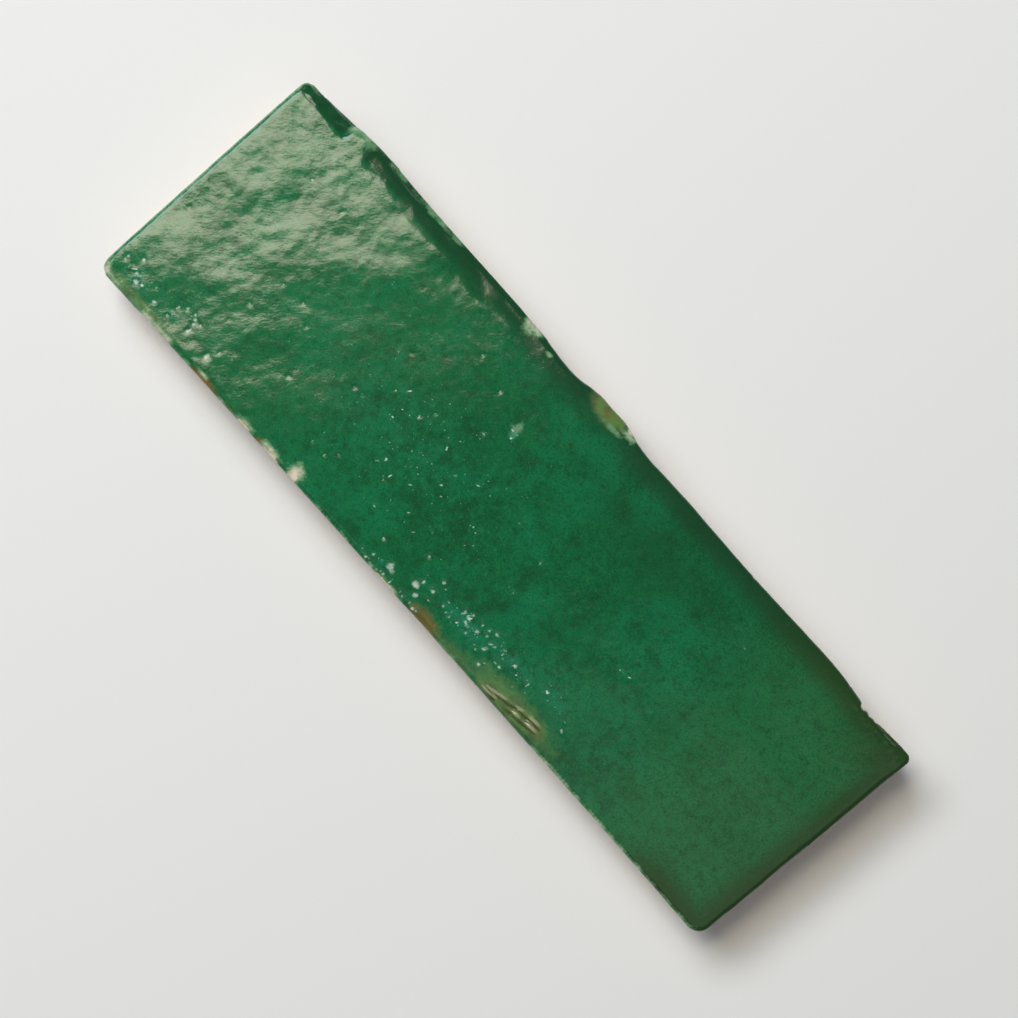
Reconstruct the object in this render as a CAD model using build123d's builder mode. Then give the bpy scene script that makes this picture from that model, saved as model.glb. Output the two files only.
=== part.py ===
"""Zellige tile in the long brick format, lying on its back with the glazed face up.

The tile is one piece of hand-formed clay, fired, glazed on its face and fired again. X runs along it
from the near end to the far end, Y across it from the joint side to the open side, and Z up through
the glazed face. The origin is the middle of the back. Every size is in millimetres.
"""

import os

from build123d import *

# Outline of the face, seen from above
face_length = 150.0
face_width = 47.0
far_end_skew = 1.7  # the far end's open corner stands this much beyond its joint corner

# Wander of the hand-trimmed open side: places from the near end, swells outwards of a straight side
near_corner_swell = 0.05
shoulder_place = 20.0
shoulder_swell = 1.25
slack_place = 35.0
slack_length = 16.0
slack_swell = 0.8
lump_place = 74.6
lump_length = 15.0
lump_crest = 6.8
lump_swell = 1.0
beside_lump_swell = 0.2
far_run_place = 100.0
far_run_swell = 0.0
crumble_place = 137.3
crumble_slope = 4.5
before_crumble_swell = -0.2
crumble_swell = -0.8
far_corner_swell = -0.7

# The joint side is a little hollow between its corners
joint_hollow_place = 48.0
joint_hollow = 0.5

# Rounding of the outline's corners
near_open_corner = 1.1
near_joint_corner = 2.2
far_joint_corner = 2.4
far_open_corner = 1.0

# Section: the sides are dressed back under the face, so that neighbours meet at the face
thickness = 12.0
undercut = 1.5
arris_roll = 0.7
back_bevel = 0.6

# Waves of the hand-formed face: how far it lies below its crest along the joint side, the middle and the
# open side, in lines across it at the near end, at three places from the near end, and at the far end
near_end_fall = (1.5, 1.0, 1.3)
waves = (
    (30.0, 0.7, 0.25, 0.6),
    (66.0, 0.45, 0.0, 0.55),
    (104.0, 0.75, 0.3, 0.5),
)
far_end_fall = (0.9, 0.5, 0.95)

# The edge broken off at the near open corner before glazing
break_length = 11.5
break_width = 2.4
break_depth = 1.5

# Flakes off the open side's edge: place from the near end, length, width, depth
open_flakes = (
    (25.5, 23.0, 8.4, 1.2),  # edge worn wider along the shoulder
    (11.8, 2.2, 2.6, 1.0),  # nick where the broken edge stops
    (55.8, 3.6, 2.4, 0.7),  # chip
    (79.3, 2.8, 2.0, 0.6),  # chip at the far foot of the lump
)

# Edge crumbled at the far open corner: place from the far end, length, width, depth
far_flakes = (
    (5.0, 12.0, 3.0, 0.8),
    (3.4, 3.0, 2.6, 0.9),
)

# Notches down the open side where it has crumbled: place from the far end, breadth, depth at the face
notches = (
    (10.9, 2.0, 0.75),
    (9.2, 1.5, 0.6),
    (7.9, 1.7, 0.5),
)
notch_run = 5.0  # how far down the side they run out

# Flakes off the joint side's edge: place from the near end, length, width, depth
joint_flakes = (
    (24.5, 5.2, 2.6, 0.7),
    (41.2, 4.6, 2.2, 0.6),
    (47.0, 2.4, 2.8, 0.9),
    (79.8, 7.6, 3.0, 0.8),
)

# Long scar in the face beside the joint side: place of its middle from the near end and in from the side
scar_place = 99.8
scar_inset = 1.9
scar_length = 13.5
scar_width = 2.6
scar_depth = 0.45
scar_slant = 8.0  # degrees off the tile's length, running inwards to the far end

# Ends and sides that the places are measured from
near_x = -face_length / 2
far_x = face_length / 2
half_width = face_width / 2
clearance = 5.0  # how far the cutting shapes stand outside the tile


def hollow(length, width, depth):
    """A bar along X with tapered ends that leaves a hollow of this size in a flat face at its origin."""
    radius = (width**2 / 4 + depth**2) / (2 * depth)
    taper_start = length / 4
    taper_rise = depth / 4
    taper_reach = taper_start + taper_start * (radius - taper_rise) / (depth - taper_rise)
    with BuildPart() as bar:
        with BuildSketch(Plane.XZ):
            Polygon(
                (-taper_reach, 0),
                (-taper_start, radius - taper_rise),
                (0, radius),
                (taper_start, radius - taper_rise),
                (taper_reach, 0),
                align=None,
            )
        revolve(axis=Axis.X)
    return bar.part.moved(Location((0, 0, radius - depth)))


# Everything under the waved face, drawn as cross sections along the tile
crown_half = half_width + clearance
near_line = (near_x - clearance, *near_end_fall)
wave_lines = [(near_x + place, *falls) for place, *falls in waves]
far_line = (far_x + clearance, *far_end_fall)
with BuildPart() as crown:
    for station, joint_fall, middle_fall, open_fall in (near_line, *wave_lines, far_line):
        joint_rim = (-crown_half, thickness - joint_fall)
        open_rim = (crown_half, thickness - open_fall)
        with BuildSketch(Plane.YZ.offset(station)):
            with BuildLine():
                ThreePointArc(joint_rim, (0, thickness - middle_fall), open_rim)
                Polyline(open_rim, (crown_half, -clearance), (-crown_half, -clearance), joint_rim)
            make_face()
    loft()


def eased(stops):
    """The stops of a side with a point halfway between each two, which hold its curve close to them."""
    points = [stops[0]]
    for (start_x, start_y), (end_x, end_y) in zip(stops, stops[1:]):
        points.append(((start_x + end_x) / 2, (start_y + end_y) / 2))
        points.append((end_x, end_y))
    return points


def outline(inset):
    """The tile's outline seen from above, drawn in by this much all round."""
    near, far, half = near_x + inset, far_x - inset, half_width - inset
    open_side = (
        (near, half + near_corner_swell),
        (near_x + shoulder_place, half + shoulder_swell),
        (near_x + slack_place, half + slack_swell),
        (near_x + slack_place + slack_length, half + slack_swell),
        (near_x + lump_place - lump_length / 2, half + beside_lump_swell),
        (near_x + lump_place - lump_crest / 2, half + lump_swell),
        (near_x + lump_place + lump_crest / 2, half + lump_swell),
        (near_x + lump_place + lump_length / 2, half + beside_lump_swell),
        (near_x + far_run_place, half + far_run_swell),
        (near_x + crumble_place - crumble_slope / 2, half + before_crumble_swell),
        (near_x + crumble_place + crumble_slope / 2, half + crumble_swell),
        (far + far_end_skew / 2, half + far_corner_swell),
    )
    near_joint = (near, -half)
    far_joint = (far - far_end_skew / 2, -half)
    with BuildSketch() as sketch:
        with BuildLine():
            Spline(eased(open_side))
            Line(open_side[-1], far_joint)
            Spline(far_joint, (near_x + joint_hollow_place, joint_hollow - half), near_joint)
            Line(near_joint, open_side[0])
        make_face()
        fillet(sketch.vertices().sort_by_distance(near_joint)[0], near_joint_corner)
        fillet(sketch.vertices().sort_by_distance(open_side[0])[0], near_open_corner)
        fillet(sketch.vertices().sort_by_distance(far_joint)[0], far_joint_corner)
        fillet(sketch.vertices().sort_by_distance(open_side[-1])[0], far_open_corner)
    return sketch.sketch


def face_height(x, y):
    """Height of the glazed face above the back at a place on it."""
    crossings = zellige_tile.part.find_intersection_points(Axis((x, y, -clearance), (0, 0, 1)))
    return max(point.Z for point, normal in crossings)


def side_reach(side, x):
    """How far a long side (1 open, -1 joint) stands from the middle at the face, found halfway down it."""
    crossings = zellige_tile.part.find_intersection_points(Axis((x, 0, thickness / 2), (0, side, 0)))
    return max(point.Y * side for point, normal in crossings) + undercut / 2


def edge_hollow(side, x, length, width, depth):
    """A hollow in the edge between the face and a long side, measured from where they would meet."""
    reach = side_reach(side, x)
    rim = Vector(x, side * reach, face_height(x, side * (reach - 2 * arris_roll)))
    return Plane(rim, x_dir=(1, 0, 0), z_dir=(0, side, 1)).location * hollow(length, width, depth)


def side_notch(x, breadth, depth):
    """A hollow down the open side that is deepest at the face."""
    reach = side_reach(1, x)
    rim = Vector(x, reach, face_height(x, reach - 2 * arris_roll))
    return Plane(rim, x_dir=(0, 0, 1), z_dir=(0, 1, 0)).location * hollow(2 * notch_run, breadth, depth)


with BuildPart() as zellige_tile:
    # Slab with a bevelled back, its sides dressed back under the face
    with BuildSketch(Plane.XY):
        add(outline(undercut + back_bevel))
    with BuildSketch(Plane.XY.offset(back_bevel)):
        add(outline(undercut))
    with BuildSketch(Plane.XY.offset(thickness + clearance)):
        add(outline(-undercut * clearance / thickness))
    loft(ruled=True)

    # Pillowed face with a softened edge
    add(crown.part, mode=Mode.INTERSECT)
    fillet(zellige_tile.faces().sort_by(Axis.Z)[-1].edges(), arris_roll)

    # Broken edge at the near open corner
    break_rim = half_width + near_corner_swell
    break_top = face_height(near_x + break_length / 2, break_rim - break_width)
    break_fall = break_depth / break_width
    with BuildSketch(Plane.YZ.offset(near_x - clearance)):
        Polygon(
            (break_rim - break_width - clearance, break_top + clearance * break_fall),
            (break_rim + clearance, break_top - break_depth - clearance * break_fall),
            (break_rim + clearance, break_top + clearance * break_fall),
            align=None,
        )
    extrude(amount=clearance + break_length, mode=Mode.SUBTRACT)

    # Flakes off the long edges
    for place, *size in open_flakes:
        add(edge_hollow(1, near_x + place, *size), mode=Mode.SUBTRACT)
    for place, *size in far_flakes:
        add(edge_hollow(1, far_x - place, *size), mode=Mode.SUBTRACT)
    for place, *size in notches:
        add(side_notch(far_x - place, *size), mode=Mode.SUBTRACT)
    for place, *size in joint_flakes:
        add(edge_hollow(-1, near_x + place, *size), mode=Mode.SUBTRACT)

    # Long scar in the face
    scar_x = near_x + scar_place
    scar_y = scar_inset - side_reach(-1, scar_x)
    scar_seat = Pos(scar_x, scar_y, face_height(scar_x, scar_y))
    add(scar_seat * Rot(Z=scar_slant) * hollow(scar_length, scar_width, scar_depth), mode=Mode.SUBTRACT)

zellige_tile.part.label = "zellige_tile"
os.makedirs("parts", exist_ok=True)
export_step(zellige_tile.part, "parts/zellige_tile.step")
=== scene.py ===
import math
import random

import bmesh
import bpy
import numpy as np
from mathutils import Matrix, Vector, kdtree, noise


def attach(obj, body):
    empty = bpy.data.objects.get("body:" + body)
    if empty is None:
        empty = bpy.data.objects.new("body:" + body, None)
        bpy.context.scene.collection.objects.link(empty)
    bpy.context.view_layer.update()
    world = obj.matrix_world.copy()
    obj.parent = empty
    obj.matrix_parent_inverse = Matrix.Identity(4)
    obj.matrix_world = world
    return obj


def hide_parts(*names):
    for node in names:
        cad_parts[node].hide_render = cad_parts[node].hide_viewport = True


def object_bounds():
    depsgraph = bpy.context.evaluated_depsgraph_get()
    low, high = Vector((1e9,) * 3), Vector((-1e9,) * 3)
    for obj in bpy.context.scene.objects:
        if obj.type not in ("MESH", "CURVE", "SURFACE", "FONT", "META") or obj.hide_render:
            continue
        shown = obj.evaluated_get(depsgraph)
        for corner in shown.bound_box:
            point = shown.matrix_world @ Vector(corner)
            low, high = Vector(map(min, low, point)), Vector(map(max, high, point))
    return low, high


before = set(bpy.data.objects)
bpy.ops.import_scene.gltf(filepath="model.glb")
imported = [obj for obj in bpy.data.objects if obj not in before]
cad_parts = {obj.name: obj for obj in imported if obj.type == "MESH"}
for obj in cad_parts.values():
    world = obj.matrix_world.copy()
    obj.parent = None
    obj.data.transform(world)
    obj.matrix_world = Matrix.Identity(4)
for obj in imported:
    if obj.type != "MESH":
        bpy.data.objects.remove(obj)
cad_low, cad_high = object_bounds()


# Fired slab
# The tile is one slab of clay, pressed by hand, trimmed with a hammer and fired. An even net is drawn
# over its solid, and a finer one over the face, so that waves, dimples, chips and drips are real relief.
MM = 0.001
MERGE_GAP = 0.001 * MM
BODY_PITCH = 0.68 * MM
FACE_BELOW_CREST = 2.6 * MM
SOFTENING_ROUNDS = 4
SOFTENING_FACTOR = 0.5
CRUMBLED_X = 60 * MM
CRUMBLED_Y = 18 * MM

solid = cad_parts["zellige_tile"]
tile = bpy.data.objects.new("tile", solid.data.copy())
bpy.context.scene.collection.objects.link(tile)

net = bmesh.new()
net.from_mesh(tile.data)
bmesh.ops.remove_doubles(net, verts=net.verts, dist=MERGE_GAP)
net.to_mesh(tile.data)
net.free()

even_net = tile.modifiers.new("even_net", "REMESH")
even_net.mode = "VOXEL"
even_net.voxel_size = BODY_PITCH
tile.data = bpy.data.meshes.new_from_object(tile.evaluated_get(bpy.context.evaluated_depsgraph_get()))
tile.modifiers.clear()

net = bmesh.new()
net.from_mesh(tile.data)
face_floor = cad_high.z - FACE_BELOW_CREST
face_edges = [e for e in net.edges if min(v.co.z for v in e.verts) > face_floor]
bmesh.ops.subdivide_edges(net, edges=face_edges, cuts=1, use_grid_fill=True)
net.to_mesh(tile.data)
net.free()

laid_on = tile.modifiers.new("laid_on", "SHRINKWRAP")
laid_on.target = solid
laid_on.wrap_method = "NEAREST_SURFACEPOINT"
tile.data = bpy.data.meshes.new_from_object(tile.evaluated_get(bpy.context.evaluated_depsgraph_get()))
tile.modifiers.clear()

# The face is softened, apart from the crumbled far open corner, which keeps its sharp notches
net = bmesh.new()
net.from_mesh(tile.data)
face_verts = [v for v in net.verts if v.co.z > face_floor]
soft_verts = [v for v in face_verts if v.co.x < CRUMBLED_X or v.co.y < CRUMBLED_Y]
for _ in range(SOFTENING_ROUNDS):
    bmesh.ops.smooth_vert(
        net,
        verts=soft_verts,
        factor=SOFTENING_FACTOR,
        use_axis_x=True,
        use_axis_y=True,
        use_axis_z=True,
    )
net.to_mesh(tile.data)
net.free()


def read_points(mesh, source, name):
    """A mesh's points or normals as rows of three numbers."""
    flat = np.empty(len(mesh.vertices) * 3, np.float32)
    getattr(mesh, source).foreach_get(name, flat)
    return flat.reshape(-1, 3).astype(float)


def ramp(value, start, end):
    """0 before start, 1 after end, and a smooth rise between them."""
    t = np.clip((value - start) / (end - start), 0, 1)
    return t * t * (3 - 2 * t)


SEED_STRIDE = 17.3


def lumps(points, size, seed):
    """Smooth random swells of this size in millimetres, from about -1 to 1."""
    shifted = points / np.asarray(size) + SEED_STRIDE * seed
    return np.array([noise.noise(Vector(p)) for p in shifted])


# Where each point lies, in millimetres, and how far in from the outline, which the leaning sides point to
SIDE_LEAN = 1.5 / 12
WALL_TILT = 0.3
WALL_MIDDLE = 6
WALL_HALF = 2
points = read_points(tile.data, "vertices", "co") / MM
normals = read_points(tile.data, "vertex_normals", "vector")
x, y, z = points.T
crest = cad_high.z / MM
wall = np.flatnonzero((np.abs(normals[:, 2]) < WALL_TILT) & (np.abs(z - WALL_MIDDLE) < WALL_HALF))
outwards = normals[wall, :2] / np.linalg.norm(normals[wall, :2], axis=1)[:, None]
outline = points[wall, :2] + outwards * SIDE_LEAN * (crest - z[wall])[:, None]
outline_tree = kdtree.KDTree(len(outline))
for i, p in enumerate(outline):
    outline_tree.insert((p[0], p[1], 0), i)
outline_tree.balance()
inset = np.array([outline_tree.find((p[0], p[1], 0))[2] for p in points])

# How far each point belongs to the face, the back, the sides, the top of the tile and its two ends
on_face = ramp(normals[:, 2], 0.2, 0.8) * ramp(z, 7, 9)
on_back = ramp(-normals[:, 2], 0.5, 0.9)
on_side = np.clip(1 - on_face - on_back, 0, 1)
near_top = ramp(z, 9.0, 9.9)
near_part = ramp(-x, 36, 60)
far_part = ramp(x, 20, 60)


# Glaze
# Copper green glass, poured over the face and fired on. It rolls over the edge and stops in a ragged line
# of drips on the sides, it is worn thin to olive and brown along the edges, and chips show the clay.
ROLL_OVER = 1.2
SHORTEST_DRIP = 0.7
DRIP_EDGE = 1.2
in_plan = points * (1, 1, 0)
drip_depth = 2.2 + 1.7 * lumps(in_plan, 7, 1) + 1.1 * lumps(in_plan, 2.4, 2)
drip_depth += 4.5 * ramp(lumps(in_plan, 9, 3), 0.15, 0.75)
drip_line = crest - ROLL_OVER - np.maximum(drip_depth, SHORTEST_DRIP)
glaze = np.clip((z - drip_line) / DRIP_EDGE + 0.5, 0, 1)

# Edges of the patches below wander by this much
ragged = 0.30 * lumps(points, 1.1, 14) + 0.24 * lumps(points, 0.55, 15)


def patches(rows, soft, wander):
    """Strength of a list of patches: middle along and across, half length, half width, strength."""
    total = np.zeros(len(points))
    for patch_x, patch_y, half_length, half_width, strength in rows:
        reach = np.hypot((x - patch_x) / half_length, (y - patch_y) / half_width) + wander * ragged
        total = np.maximum(total, strength * ramp(-reach, -1 - soft, -1 + soft))
    return total * near_top


# Chips down to the clay
bare = patches(
    (
        (-19.2, 24.6, 1.4, 0.45, 0.9),
        (4.3, 24.2, 0.8, 0.5, 0.9),
        (-39.2, -23.1, 1.5, 0.5, 0.9),
        (-32.8, -23.0, 1.9, 0.6, 1.0),
        (-27.5, -22.5, 1.1, 1.1, 1.0),
        (-4.5, -22.9, 3.4, 0.35, 0.9),
    ),
    0.3,
    1.4,
)

# Milky glaze round the chips and in a blemish on the face
milky_and_highlight = patches(
    (
        (-19.4, 23.9, 2.1, 1.0, 0.8),
        (-19.6, 22.9, 1.0, 1.1, 0.7),
        (-14.2, 22.6, 0.7, 0.5, 0.6),
        (4.6, 23.6, 1.5, 0.9, 0.8),
        (2.2, 22.2, 1.9, 0.5, 0.55),
        (-39.2, -22.6, 1.9, 0.9, 0.7),
        (-33.2, -22.4, 2.4, 0.9, 0.8),
        (-27.5, -21.9, 1.4, 1.6, 1.0),
        (-8.5, 10.2, 0.9, 1.4, 0.6),
        (-49.8, -22.3, 1.5, 0.35, 0.8),
    ),
    0.75,
    1.4,
)

# Milky lines where the edge is worn along the joint side, and pale lines along the open side near the near
# end that are painted reflections of the light on its arris: side, start and end along it, how far in,
# strength
broken = 0.45 + 0.55 * ramp(lumps(in_plan, 2.6, 16), -0.25, 0.3)
for side, start, end, reach_in, strength in (
    (-1, -74.5, -57.0, 1.8, 0.85),
    (-1, -57.0, -52.0, 1.0, 0.70),
    (-1, -46.0, -41.0, 0.8, 0.65),
    (-1, -24.0, -9.0, 0.8, 0.65),
    (-1, -8.5, 0.3, 1.1, 0.95),
    (-1, 8.4, 13.0, 0.9, 0.90),
    (-1, 32.0, 73.0, 1.0, 0.80),
    (1, -64.0, -58.5, 2.6, 1.00),
    (1, -58.5, -36.0, 1.2, 0.55),
):
    line = ramp(x, start - 1, start + 1) * ramp(-x, -end - 1, -end + 1) * ramp(side * y, 18, 20)
    line *= broken * ramp(-inset, -reach_in, -0.3 * reach_in) * near_top
    milky_and_highlight = np.maximum(milky_and_highlight, strength * line)
# Painted highlight: a pale line along the near end's arris, where it catches the light
near_arris = ramp(-x, 70, 73) * ramp(-inset, -0.9, -0.3) * near_top
milky_and_highlight = np.maximum(milky_and_highlight, (0.45 + 0.2 * broken) * near_arris)

# Long scar beside the joint side, blunt at its far end, with wavering ridges that spread along it
scar_x = 24.6
scar_y = -21.2
scar_half_length = 7.2
scar_half_width = 1.5
scar_slant = math.radians(8)
along = (x - scar_x) * math.cos(scar_slant) + (y - scar_y) * math.sin(scar_slant)
across = (y - scar_y) * math.cos(scar_slant) - (x - scar_x) * math.sin(scar_slant)
spread = 0.35 + 0.65 * ramp(along, -scar_half_length, scar_half_length * 0.5)
scar_reach = (along / scar_half_length) ** 4 + (across / (scar_half_width * spread)) ** 2
scar = ramp(-scar_reach, -1.25, -0.75) * on_face
waver = 0.22 * lumps(points, 2.6, 19)

# Ridges, each with a groove beside it: how far across, start and end along the scar, half width
groove_below = 0.48
ridge_and_highlight = np.zeros(len(points))
groove_and_shade = np.zeros(len(points))
for ridge_across, ridge_start, ridge_end, half_width in (
    (0.95, -6.6, 7.2, 0.32),
    (-0.25, -1.5, 6.8, 0.34),
    (-0.55, -6.8, -2.0, 0.26),
):
    run = ramp(along, ridge_start - 1, ridge_start + 3)
    run *= ramp(-along, -ridge_end - 0.4, -ridge_end + 0.8)
    beside = across - ridge_across * spread - waver
    ridge_and_highlight = np.maximum(ridge_and_highlight, run * np.exp(-((beside / half_width) ** 2)))
    groove_and_shade = np.maximum(groove_and_shade, run * np.exp(-(((beside + groove_below) / half_width) ** 2)))
# The ridges are real relief, and their crests are also painted pale cream as painted highlights
ridge_and_highlight *= scar * (0.45 + 0.55 * ramp(lumps(points, 1.7, 22), -0.35, 0.25))
# The grooves are real relief, and are also painted dark brown as painted shade
groove_and_shade *= scar * (1 - ridge_and_highlight)

# Thin glaze, olive over the lump and the scar and along the joint side
olive = np.maximum(patches(((-0.5, 24.4, 4.2, 2.8, 1.0),), 0.45, 0.35), 0.85 * scar)
olive_stretches = (
    (25.0, -20.8, 10.5, 2.8, 0.7),
    (13.0, -22.2, 6.0, 1.5, 0.55),
    (-66.0, -22.5, 9.0, 1.4, 0.7),
    (-44.0, -22.9, 8.0, 0.8, 0.5),
)
olive = np.maximum(olive, patches(olive_stretches, 0.8, 0.6))

# Thinner glaze, brown from the iron in the clay
brown = patches(
    (
        (4.9, -22.5, 3.4, 1.9, 0.95),
        (-49.2, -22.9, 2.7, 0.9, 1.0),
        (-43.5, -23.2, 3.0, 0.5, 0.7),
        (-35.2, -22.8, 1.0, 0.9, 0.95),
        (31.2, -20.4, 1.6, 1.6, 0.4),
        (-0.8, 24.9, 3.4, 0.6, 0.8),
        (-0.4, 23.3, 1.7, 1.0, 0.45),
    ),
    0.85,
    0.8,
)

# The hand swept the wet face at this slant to the tile's length, and leans follow it. The pale flecks,
# partly painted glints, are stretched along the same slant
SWEEP = math.radians(48.2)
with_sweep = x * math.cos(SWEEP) + y * math.sin(SWEEP)
past_sweep = y * math.cos(SWEEP) - x * math.sin(SWEEP)

# Shallow leans of the near face, in which the window shows: middle along and across, half size past and
# with the sweep, fall past the sweep
leans = (
    (-72.5, 8.5, 2.0, 4.0, -0.022),
    (-72.5, -18.5, 4.0, 5.0, -0.050),
    (-70.5, -8.0, 5.0, 6.0, 0.070),
    (-66.0, -19.5, 6.0, 9.0, -0.060),
    (-65.0, 1.0, 2.2, 3.0, -0.042),
    (-63.0, 20.5, 3.0, 4.0, 0.030),
    (-62.5, -10.0, 3.0, 4.0, 0.050),
    (-58.0, 7.0, 3.0, 4.0, 0.042),
    (-58.0, 0.0, 3.0, 3.5, 0.030),
    (-52.5, 12.5, 4.5, 5.5, -0.055),
    (-48.5, 1.0, 6.5, 11.0, -0.050),
    (-47.0, 18.0, 3.0, 3.0, 0.030),
    (-43.0, -6.5, 6.0, 11.0, -0.040),
    (-42.5, 13.5, 3.5, 3.5, 0.040),
    (-35.5, 21.5, 3.5, 6.0, -0.050),
)
lean_relief = np.zeros(len(points))
for lean_x, lean_y, half_past, half_with, fall in leans:
    past = past_sweep - (lean_y * math.cos(SWEEP) - lean_x * math.sin(SWEEP))
    beside = with_sweep - (lean_x * math.cos(SWEEP) + lean_y * math.sin(SWEEP))
    lean_relief -= fall * past * np.exp(-((past / half_past) ** 2) - (beside / half_with) ** 2)

# Burst bubbles, middle along and across and radius: crowded along one stretch near the joint side, a few
# over the face, a group at the near joint corner, a row along the joint edge and five large ones
FACE_DEPTH = 0.4
SEARCH_MARGIN = 0.6
pick = random.Random(7)
bubble_tree = kdtree.KDTree(len(points))
for i, p in enumerate(points):
    bubble_tree.insert(p, i)
bubble_tree.balance()
bubbles = [(pick.gauss(12, 11), pick.gauss(-17, 1.6), pick.uniform(0.2, 0.42)) for _ in range(60)]
bubbles += [(pick.gauss(-25, 25), pick.uniform(-21, 16), pick.uniform(0.2, 0.3)) for _ in range(35)]
bubbles += [
    (pick.uniform(-73, -56), pick.uniform(-20.5, -16.5), pick.uniform(0.3, 0.5)) for _ in range(22)
]
bubbles += [
    (pick.uniform(-12, 3), pick.uniform(-22.4, -21.5), pick.uniform(0.2, 0.4)) for _ in range(18)
]
bubbles += [
    (-5.6, -20.2, 0.85),
    (-4.8, -20.6, 0.6),
    (-0.5, -19.1, 0.75),
    (0.7, -20.4, 0.6),
    (-51.7, -19.6, 0.7),
]
pit = np.zeros(len(points))
for bubble_x, bubble_y, radius in bubbles:
    middle = (bubble_x, bubble_y, crest - FACE_DEPTH)
    for co, i, _ in bubble_tree.find_range(middle, radius * 2 + SEARCH_MARGIN):
        reach = math.hypot(co.x - bubble_x, co.y - bubble_y) / radius + 1.2 * ragged[i]
        pit[i] = max(pit[i], 1 - max(0.0, reach) ** 2 / 2)
pit *= on_face


def spot(spot_x, spot_y, half_length, half_width):
    """1 at a place on the face, falling off softly round it."""
    return np.exp(-(((x - spot_x) / half_length) ** 2) - ((y - spot_y) / half_width) ** 2)


# How thickly the face is flecked with tiny bubbles, whose pale spots are partly pale rims and partly
# painted glints: middle along and across, half length, half width, thickness
flecked = 0.74 * spot(-18, -4, 46, 20)
for fleck_x, fleck_y, half_length, half_width, thickness in (
    (9.5, -17.4, 8.0, 2.4, 1.1),
    (19.0, -15.8, 9.0, 2.8, 1.0),
    (29.0, -14.6, 6.0, 3.2, 0.9),
    (-8.3, 9.5, 1.8, 2.8, 1.1),
    (33.0, -3.3, 2.6, 0.7, 0.95),
    (41.0, -4.4, 1.6, 0.7, 0.9),
    (6.0, 0.4, 2.4, 0.9, 0.95),
    (-30.5, 4.0, 2.0, 1.2, 0.9),
    (-40.0, 11.0, 2.4, 1.0, 0.9),
    (-69.0, -19.5, 4.5, 2.4, 1.0),
    (-60.0, -19.0, 3.5, 2.0, 0.9),
    (-7.0, -20.8, 1.5, 1.2, 1.1),
    (-27.0, -14.0, 8.0, 4.0, 0.75),
):
    flecked = np.maximum(flecked, thickness * spot(fleck_x, fleck_y, half_length, half_width))

# Relief of the face: long waves, dimples, leans and burst bubbles, calmest at the far end. Each layer of
# lumps has its amount in front, then its size and its seed.
PIT_DEPTH = 0.07
calm = 1 - 0.6 * far_part
stirred = near_part * (1 - 0.7 * spot(-46, -10, 11, 14))
waves = 0.09 * lumps(points, (17, 12, 17), 4) + (0.025 + 0.075 * stirred) * calm * lumps(points, 5.0, 5)
dimples = 0.034 * lumps(points, 1.9, 6) + 0.020 * lumps(points, 1.0, 7)
face_relief = waves + (0.45 + 0.85 * near_part) * calm * dimples + lean_relief - PIT_DEPTH * pit

# Rough clay at the crumbled corner and in the chips
crumbled = ramp(-inset, -2.6, -1.0) * np.maximum(ramp(x, 61, 64) * ramp(y, 18, 20), bare)
face_relief += crumbled * (0.10 * lumps(points, 1.0, 17) + 0.06 * lumps(points, 0.6, 18))

# Ridges and grooves of the scar
RIDGE_HEIGHT = 0.26
GROOVE_DEPTH = 0.16
face_relief += RIDGE_HEIGHT * ridge_and_highlight - GROOVE_DEPTH * groove_and_shade

# The open side's shoulder is worn down towards its edge, and chips lie a little lower than the glaze
WORN_DEPTH = 0.38
CHIP_DEPTH = 0.05
worn_to = 4.6 + 1.2 * lumps(points, 4, 21)
worn = ramp(worn_to - inset, 0, 4) * ramp(x, -60.5, -57.5) * ramp(-x, 6, 36) * ramp(y, 15, 18)
face_relief -= WORN_DEPTH * worn
face_relief += bare * (0.10 * lumps(points, 0.9, 8) - CHIP_DEPTH)

# The edge broken off at the near open corner is uneven
broken_off = ramp(-x, 62.5, 64.5) * ramp(y, 19.5, 21) * ramp(-normals[:, 2], -0.96, -0.90)
face_relief += broken_off * (0.42 * lumps(points, 2.6, 23) + 0.16 * lumps(points, 1.1, 24))

# The sides are rough clay, serrated at the crumbled corner and smoother under the glaze, which ends in
# a lip
SERRATION_DEPTH = 0.55
LIP_HEIGHT = 0.16
side_relief = 0.22 * lumps(points, (4, 4, 2.5), 9) + 0.09 * lumps(points, 1.3, 10)
serrated = ramp(x, 61.5, 63) * ramp(-x, -73, -68) * ramp(y, 19, 21) * ramp(z, 5, 8)
side_relief -= SERRATION_DEPTH * serrated * np.abs(lumps(points * (1, 0, 0), 1.5, 20))
drip_lip = LIP_HEIGHT * ramp(glaze, 0.3, 0.7)
side_relief = side_relief * (1 - 0.75 * glaze) + drip_lip

# The back is pitted inwards only, so that the tile still lies flat
back_relief = -0.16 * np.abs(lumps(points, 5, 11)) - 0.07 * np.abs(lumps(points, 1.4, 12))
relief = on_face * face_relief + on_side * side_relief + on_back * back_relief
moved = points + normals * relief[:, None]
moved[:, 2] = np.maximum(moved[:, 2], 0)
tile.data.vertices.foreach_set("co", (moved * MM).astype(np.float32).ravel())

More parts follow.
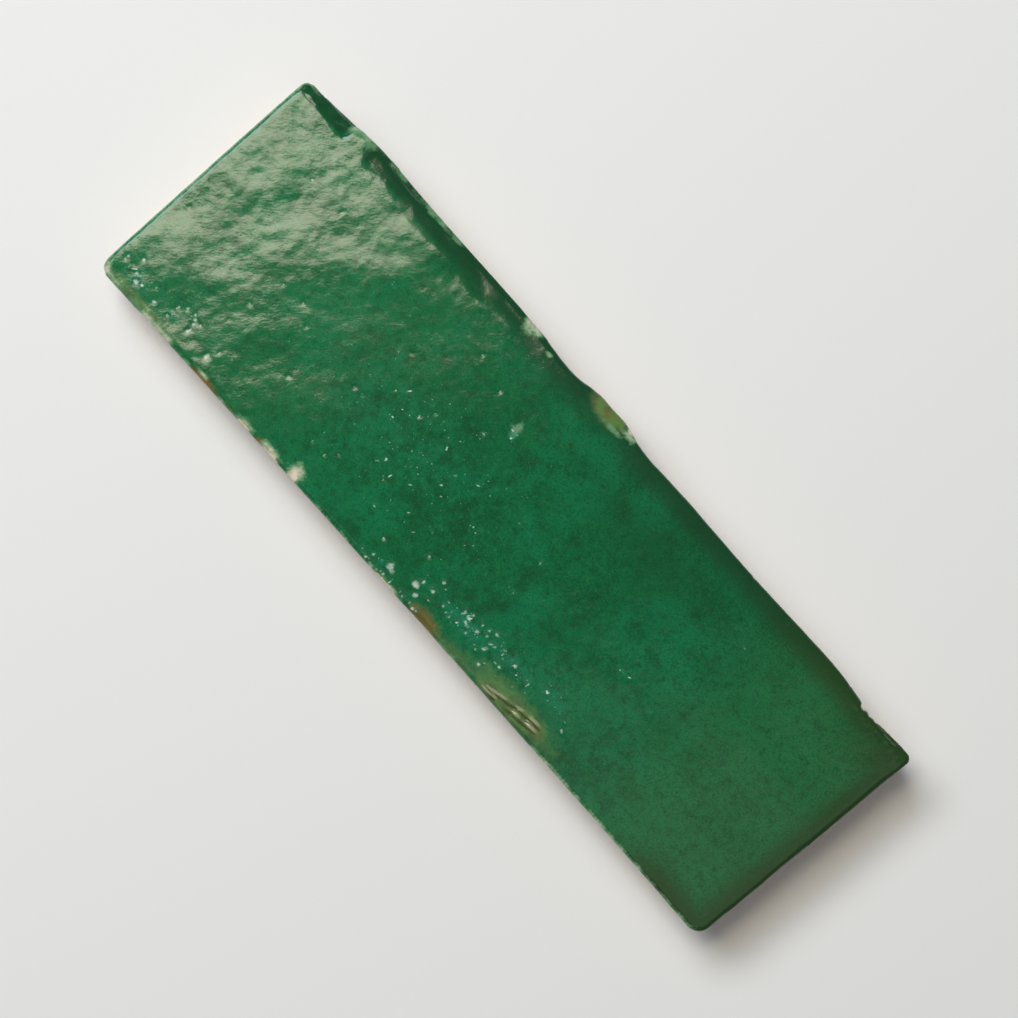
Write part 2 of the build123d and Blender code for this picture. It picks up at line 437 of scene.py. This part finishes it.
# The glaze is painted darker towards the open side and the far end, along the worn shoulder, at the far
# open corner and over the broken edge. This is partly thick pooled glaze and partly painted shade, where
# the rolled edges and the shoulder turn away from the light
dark = ramp(-inset, -10, 0) ** 2 * np.maximum(ramp(y, 2, 12) * ramp(x, -62, -50), ramp(x, 50, 64))
shoulder = ramp(-inset, -4.4, -2.4) * ramp(x, -60.5, -58.5) * ramp(-x, 26, 42) * ramp(y, 15, 18)
dark = np.maximum(dark, shoulder)
dark = np.maximum(dark, 0.42 * spot(24, 15, 26, 9))
dark = np.maximum(dark, 0.9 * spot(73, 21, 6.5, 8))
dark = np.maximum(dark, 0.75 * ramp(-x, 62.5, 64.5) * ramp(y, 20.4, 21.4))
dark = np.maximum(dark, 0.9 * ramp(-inset, -0.9, -0.4) * ramp(x, 60, 74))

# The material reads these values at the tile's points
for name, values in (
    ("glaze", glaze),
    ("bare", bare),
    ("milky_and_highlight", milky_and_highlight),
    ("olive", olive),
    ("brown", brown),
    ("pit", pit),
    ("flecked", flecked * on_face),
    ("dark", dark),
    ("groove_and_shade", groove_and_shade),
    ("ridge_and_highlight", ridge_and_highlight),
):
    tile.data.attributes.new(name, "FLOAT", "POINT").data.foreach_set("value", values.astype(np.float32))
tile.data.shade_smooth()
tile.data.update()


class Wire:
    """One output of a shader node; sums and products of wires add Math nodes to the same tree."""

    tree = None

    def __init__(self, socket):
        self.socket = socket

    @classmethod
    def node(cls, kind, settings, inputs, output=0):
        """A new node with its settings made first, then its inputs given values or linked to wires."""
        made = cls.tree.nodes.new(kind)
        for name, value in settings.items():
            setattr(made, name, value)
        for name, value in inputs.items():
            if isinstance(value, Wire):
                cls.tree.links.new(value.socket, made.inputs[name])
            else:
                made.inputs[name].default_value = value
        return cls(made.outputs[output]) if made.outputs else None

    def math(self, operation, first, second):
        return Wire.node("ShaderNodeMath", {"operation": operation}, {0: first, 1: second})

    def __add__(self, other):
        return self.math("ADD", self, other)

    def __radd__(self, other):
        return self.math("ADD", other, self)

    def __sub__(self, other):
        return self.math("SUBTRACT", self, other)

    def __rsub__(self, other):
        return self.math("SUBTRACT", other, self)

    def __mul__(self, other):
        return self.math("MULTIPLY", self, other)

    def __rmul__(self, other):
        return self.math("MULTIPLY", other, self)


def rise(wire, start, end):
    """0 before start, 1 after end, smooth between."""
    return Wire.node(
        "ShaderNodeMapRange",
        {"interpolation_type": "SMOOTHSTEP", "clamp": True},
        {"Value": wire, "From Min": start, "From Max": end},
    )


def grain(place, per_mm, detail=2.0, rough=0.5):
    """Smooth random shade from 0 to 1, with this many swells in a millimetre."""
    return Wire.node(
        "ShaderNodeTexNoise",
        {},
        {"Vector": place, "Scale": per_mm / MM, "Detail": detail, "Roughness": rough},
    )


def mix(factor, first, second):
    """Goes from the first colour to the second as the factor rises."""
    return Wire.node(
        "ShaderNodeMix",
        {"data_type": "RGBA"},
        {"Factor": factor, 6: first, 7: second},
        output=2,
    )


def kept(name):
    """One of the tile's own values, stored at its points."""
    return Wire.node("ShaderNodeAttribute", {"attribute_name": name}, {}, output="Fac")


glazed_clay = bpy.data.materials.new("glazed_clay")
glazed_clay.use_nodes = True
Wire.tree = glazed_clay.node_tree
Wire.tree.nodes.clear()

DEEP_GREEN = (0.002, 0.128, 0.041, 1)
BLUE_GREEN = (0.002, 0.180, 0.069, 1)
LEAF_GREEN = (0.012, 0.190, 0.054, 1)
SHADE_GREEN = (0.003, 0.066, 0.019, 1)
NEAR_GREEN = (0.010, 0.205, 0.068, 1)
# Paler olive of the far end, partly the glaze's own tone and partly a painted sheen
FAR_GREEN_AND_SHEEN = (0.024, 0.142, 0.038, 1)
# Dark greens for pooled glaze and for painted shade on the edges and the shoulder
POOLED_AND_SHADED_GREEN = (0.009, 0.060, 0.022, 1)
POOLED_AND_SHADED_OLIVE = (0.020, 0.056, 0.012, 1)
OLIVE = (0.135, 0.250, 0.070, 1)
DULL_OLIVE = (0.120, 0.170, 0.060, 1)
# Painted shade for the grooves beside the scar's ridges
GROOVE_SHADE = (0.042, 0.050, 0.014, 1)
# Painted highlight for the crests of the scar's ridges
RIDGE_HIGHLIGHT = (0.40, 0.41, 0.24, 1)
HAZE = (0.012, 0.235, 0.130, 1)
BROWN = (0.170, 0.125, 0.026, 1)
RUST = (0.300, 0.150, 0.035, 1)
PALE_GREEN = (0.15, 0.34, 0.17, 1)
# Pale milky glaze, also used for the painted highlights on the arrises
MILK_AND_HIGHLIGHT = (0.66, 0.66, 0.50, 1)
BUFF_CLAY = (0.60, 0.48, 0.34, 1)
RED_CLAY = (0.46, 0.29, 0.18, 1)
GRIT = (0.26, 0.18, 0.12, 1)
CREAM_CLAY = (0.82, 0.74, 0.58, 1)
# Pale rims of tiny bubbles, partly painted glints
FLECK_AND_GLINT = (0.58, 0.78, 0.67, 1)

place = Wire.node("ShaderNodeTexCoord", {}, {}, output="Object")
swept = Wire.node(
    "ShaderNodeMapping",
    {"vector_type": "TEXTURE"},
    {"Vector": place, "Rotation": (0, 0, SWEEP), "Scale": (1.5, 1.0, 1.0)},
)
along_tile = Wire.node("ShaderNodeSeparateXYZ", {}, {"Vector": place}, output="X")
toward_far = rise(along_tile, 33 * MM, 60 * MM)
past_near = rise(along_tile, -62 * MM, -34 * MM)

cloud = grain(place, 0.06, 3.0, 0.6)
patch = grain(place, 0.16, 4.0, 0.6)
mottle = grain(place, 0.7, 4.0, 0.65)
speckle = grain(swept, 2.0, 3.0, 0.65)
fine = grain(place, 4.0, 2.0, 0.6)
green = mix(rise(cloud, 0.40, 0.62), DEEP_GREEN, BLUE_GREEN)
green = mix(0.60 * rise(patch, 0.46, 0.66), green, SHADE_GREEN)
# Paler olive towards the far end: partly the glaze's own tone, partly a painted sheen of light reflected
# there
green = mix(0.60 * toward_far, green, FAR_GREEN_AND_SHEEN)
green = mix(0.35 * rise(along_tile, -8 * MM, -40 * MM), green, NEAR_GREEN)
green = mix(0.60 * rise(mottle, 0.50, 0.72), green, LEAF_GREEN)
green = mix(0.65 * rise(mottle, 0.50, 0.30), green, SHADE_GREEN)
green = mix(0.45 * rise(speckle, 0.50, 0.72), green, SHADE_GREEN)
green = mix(0.45 * rise(speckle, 0.46, 0.28), green, BLUE_GREEN)
green = mix(0.60 * rise(fine, 0.48, 0.68), green, SHADE_GREEN)
green = mix(0.60 * rise(fine, 0.48, 0.28), green, LEAF_GREEN)
# Darker where the glaze pools and where shade is painted on the rolled edges and the shoulder
pooled_and_shaded = mix(toward_far, POOLED_AND_SHADED_GREEN, POOLED_AND_SHADED_OLIVE)
pooling_and_shade = kept("dark") + 0.5 * (mottle - 0.5) + 0.3 * (fine - 0.5)
green = mix(0.9 * rise(pooling_and_shade, 0.05, 1.0), green, pooled_and_shaded)

olive_tone = mix(rise(grain(place, 0.5, 3.0), 0.42, 0.62), OLIVE, DULL_OLIVE)
green = mix(0.9 * rise(kept("olive") + 0.35 * (mottle - 0.5), 0.15, 0.95), green, olive_tone)
rusty = 0.3 * rise(along_tile, -20 * MM, -40 * MM)
brown_tone = mix(rise(grain(place, 0.7, 3.0) + rusty, 0.54, 0.80), BROWN, RUST)
green = mix(0.85 * rise(kept("brown") + 0.3 * (mottle - 0.5), 0.15, 0.95), green, brown_tone)
# Painted shade: dark brown in the grooves beside the scar's ridges
green = mix(0.9 * rise(kept("groove_and_shade") + 0.4 * (mottle - 0.5), 0.15, 0.9), green, GROOVE_SHADE)
# Painted highlight: pale cream along the crests of the scar's ridges
green = mix(0.85 * rise(kept("ridge_and_highlight") + 0.5 * (mottle - 0.5), 0.2, 0.9), green, RIDGE_HIGHLIGHT)
# Pale where the glaze is milky round the chips and on worn edges, and where painted highlights lie along
# the open side's and the near end's arrises
milkiness_and_highlight = kept("milky_and_highlight") + 0.7 * (mottle - 0.5) + 0.5 * (speckle - 0.5)
green = mix(0.9 * rise(milkiness_and_highlight, 0.15, 0.60), green, PALE_GREEN)
green = mix(0.9 * rise(milkiness_and_highlight, 0.50, 1.00), green, MILK_AND_HIGHLIGHT)

fleck_thickness = kept("flecked")
hazy = fleck_thickness + 1.2 * (mottle - 0.5) + 0.6 * (speckle - 0.5)
green = mix(0.6 * rise(hazy, 0.60, 1.25), green, HAZE)
# Painted glints: pale streaks at the rims of tiny bubbles, stretched along the sweep
flecks_and_glints = rise(grain(swept, 1.2, 1.5) + 0.26 * fleck_thickness, 0.86, 0.98)
flecks_and_glints = flecks_and_glints + 0.8 * rise(grain(place, 2.6, 1.5) + 0.24 * fleck_thickness, 0.84, 0.96)
flecks_and_glints = flecks_and_glints * rise(grain(place, 0.9), 0.34, 0.60)
# Pale spots at the burst bubbles, partly their pale rims and partly painted glints
burst_and_glint = kept("pit") + 0.8 * (speckle - 0.5) + 0.5 * (mottle - 0.5)
flecks_and_glints = flecks_and_glints + 0.8 * rise(burst_and_glint, 0.40, 1.15)
green = mix(rise(flecks_and_glints, 0.0, 1.0), green, FLECK_AND_GLINT)

clay = mix(rise(grain(place, 0.35, 6.0, 0.65), 0.35, 0.7), BUFF_CLAY, RED_CLAY)
clay = mix(0.35 * rise(grain(place, 3.0, 4.0, 0.7), 0.5, 0.7), clay, CREAM_CLAY)
clay = mix(0.6 * rise(grain(place, 1.8, 2.0), 0.60, 0.72), clay, GRIT)
clay = mix(0.85 * kept("bare"), clay, CREAM_CLAY)

frayed = 0.5 * (mottle - 0.5) + 0.3 * (speckle - 0.5)
covered = rise(kept("glaze") + frayed, 0.46, 0.56)
covered = covered * (1 - rise(kept("bare") + 1.6 * frayed, 0.40, 0.70))
base = mix(covered, clay, green)
gloss = covered * (0.68 + 0.05 * mottle + 0.05 * past_near)
dimpled = (0.42 - 0.26 * past_near) * (speckle + 0.8 * mottle)
height = covered * dimpled + (1 - covered) * grain(place, 1.6, 6.0, 0.7)

CLAY_ROUGHNESS = 0.88
GLAZE_IOR = 1.52
BUMP_HEIGHT = 0.12 * MM
bump = Wire.node("ShaderNodeBump", {}, {"Height": height, "Distance": BUMP_HEIGHT, "Strength": 0.6})
shader = Wire.node(
    "ShaderNodeBsdfPrincipled",
    {},
    {"Base Color": base, "Roughness": CLAY_ROUGHNESS - gloss, "IOR": GLAZE_IOR, "Normal": bump},
)
Wire.node("ShaderNodeOutputMaterial", {}, {"Surface": shader})

tile.data.materials.clear()
tile.data.materials.append(glazed_clay)
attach(tile, "root")
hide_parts("zellige_tile")


# Floor
# A plain sheet of pale paper, laid flat and wide enough that its edges stay out of the picture. The tile
# lies loose on it.
FLOOR_HALF = 2.0
PAPER_WHITE = (0.91, 0.92, 0.93, 1)
PAPER_ROUGHNESS = 0.9
sheet = bmesh.new()
bmesh.ops.create_grid(sheet, x_segments=1, y_segments=1, size=FLOOR_HALF)
floor_mesh = bpy.data.meshes.new("floor")
sheet.to_mesh(floor_mesh)
sheet.free()
floor = bpy.data.objects.new("floor", floor_mesh)
bpy.context.scene.collection.objects.link(floor)
paper = bpy.data.materials.new("paper")
paper.use_nodes = True
paper_shader = paper.node_tree.nodes["Principled BSDF"]
paper_shader.inputs["Base Color"].default_value = PAPER_WHITE
paper_shader.inputs["Roughness"].default_value = PAPER_ROUGHNESS
floor_mesh.materials.append(paper)


# Camera
# It looks straight down through a long lens, with the tile's length slanting across the picture.
TURN = math.radians(48.2)
LENS = 135.0
FRAME_WIDTH = 0.168
camera_data = bpy.data.cameras.new("camera")
camera_data.lens = LENS
camera = bpy.data.objects.new("camera", camera_data)
distance = FRAME_WIDTH / 2 / (camera_data.sensor_width / 2 / LENS)
middle_of_tile = (cad_low + cad_high) / 2
camera.location = (middle_of_tile.x, middle_of_tile.y, cad_high.z + distance)
camera.rotation_euler = (0, 0, TURN)
bpy.context.scene.collection.objects.link(camera)
bpy.context.scene.camera = camera


# Light
# A warm window beyond the top of the picture, longer at its left, a broad softbox beyond it, a weak fill
# from below and a dim room.
CEILING = 1.2
WINDOW_FOOT = 0.168
WINDOW_SILL = 0.206
WINDOW_HEAD = 0.50
WINDOW_LEFT = -0.45
WINDOW_RIGHT = 0.05
FOOT_RIGHT = -0.140
WINDOW_RADIANCE = 8.6
KEY_RADIANCE = 8.2
FILL_RADIANCE = 0.36
WARM_WINDOW = (1.0, 0.90, 0.70)
COOL_KEY = (0.92, 0.955, 1.0)
WARM_FILL = (1.0, 0.95, 0.88)
ROOM_AIR = (0.94, 0.97, 1.0, 1)
ROOM_STRENGTH = 0.12
picture_up = Vector((-math.sin(TURN), math.cos(TURN), 0))
picture_right = Vector((math.cos(TURN), math.sin(TURN), 0))


def softbox(name, up, right, radiance, colour):
    """A level light at the ceiling that spans these two places up the picture and across it."""
    data = bpy.data.lights.new(name, "AREA")
    data.shape = "RECTANGLE"
    data.size = right[1] - right[0]
    data.size_y = up[1] - up[0]
    data.energy = radiance * math.pi * data.size * data.size_y
    data.color = colour
    light = bpy.data.objects.new(name, data)
    light.location = picture_up * sum(up) / 2 + picture_right * sum(right) / 2 + Vector((0, 0, CEILING))
    light.rotation_euler = (0, 0, TURN)
    bpy.context.scene.collection.objects.link(light)


softbox("window", (WINDOW_SILL, WINDOW_HEAD), (WINDOW_LEFT, WINDOW_RIGHT), WINDOW_RADIANCE, WARM_WINDOW)
softbox("window_foot", (WINDOW_FOOT, WINDOW_SILL), (WINDOW_LEFT, FOOT_RIGHT), WINDOW_RADIANCE, WARM_WINDOW)
softbox("key", (WINDOW_HEAD, 1.30), (-1.20, -0.10), KEY_RADIANCE, COOL_KEY)
softbox("fill", (-0.9, -0.13), (-0.6, 0.6), FILL_RADIANCE, WARM_FILL)

world = bpy.data.worlds.new("room")
world.use_nodes = True
background = world.node_tree.nodes["Background"]
background.inputs["Color"].default_value = ROOM_AIR
background.inputs["Strength"].default_value = ROOM_STRENGTH
bpy.context.scene.world = world
bpy.context.scene.view_settings.view_transform = "Standard"
